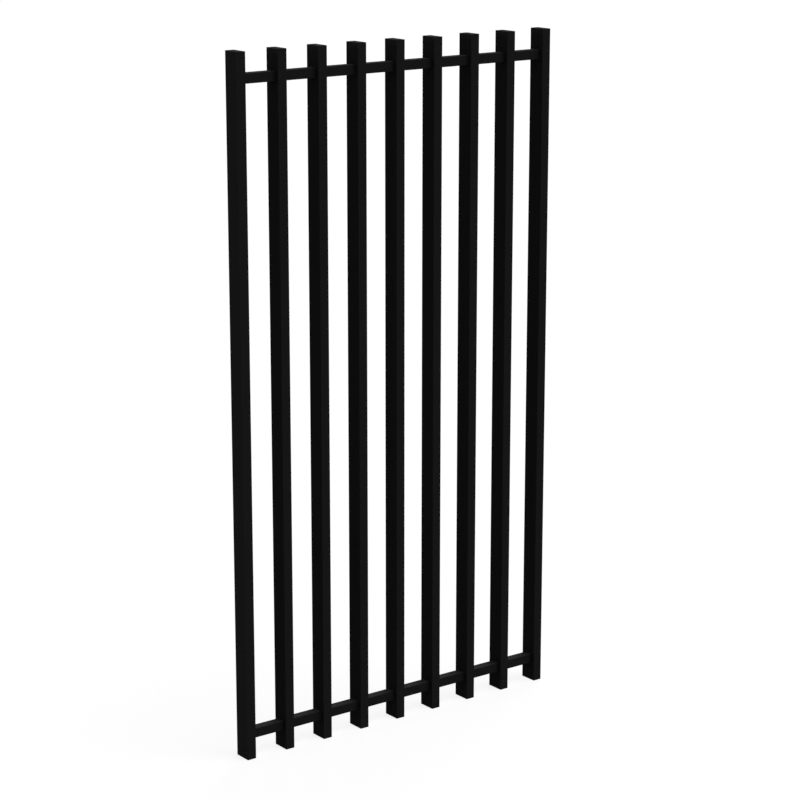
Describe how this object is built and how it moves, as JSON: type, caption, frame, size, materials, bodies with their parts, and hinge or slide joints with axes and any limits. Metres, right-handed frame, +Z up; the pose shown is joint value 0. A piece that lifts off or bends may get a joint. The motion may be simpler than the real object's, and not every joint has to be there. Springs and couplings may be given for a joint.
{
  "type": "metal fence gate",
  "caption": "Open metal gate leaf of upright rectangular tubes on edge, threaded on a top and a bottom square rail and closed by flush caps, in black powder coat.",
  "frame": {"origin": "foot of the left stile's outer face, at mid depth", "axes": "+X along the gate to the right, seen from the front; -Y out of the front; +Z up"},
  "size_m": [0.975, 0.05, 1.8],
  "materials": {
    "black_powder_coat": "matte, fine texture",
    "black_cap_plastic": "matte"
  },
  "bodies": {
    "root": {"left_stile": "black_powder_coat", "picket_1": "black_powder_coat", "picket_2": "black_powder_coat", "picket_3": "black_powder_coat", "picket_4": "black_powder_coat", "picket_5": "black_powder_coat", "picket_6": "black_powder_coat", "picket_7": "black_powder_coat", "right_stile": "black_powder_coat", "bottom_rail": "black_powder_coat", "top_rail": "black_powder_coat", "left_stile_top_cap": "black_cap_plastic", "left_stile_foot_cap": "black_cap_plastic", "picket_1_top_cap": "black_cap_plastic", "picket_1_foot_cap": "black_cap_plastic", "picket_2_top_cap": "black_cap_plastic", "picket_2_foot_cap": "black_cap_plastic", "picket_3_top_cap": "black_cap_plastic", "picket_3_foot_cap": "black_cap_plastic", "picket_4_top_cap": "black_cap_plastic", "picket_4_foot_cap": "black_cap_plastic", "picket_5_top_cap": "black_cap_plastic", "picket_5_foot_cap": "black_cap_plastic", "picket_6_top_cap": "black_cap_plastic", "picket_6_foot_cap": "black_cap_plastic", "picket_7_top_cap": "black_cap_plastic", "picket_7_foot_cap": "black_cap_plastic", "right_stile_top_cap": "black_cap_plastic", "right_stile_foot_cap": "black_cap_plastic"}
  },
  "joints": []
}
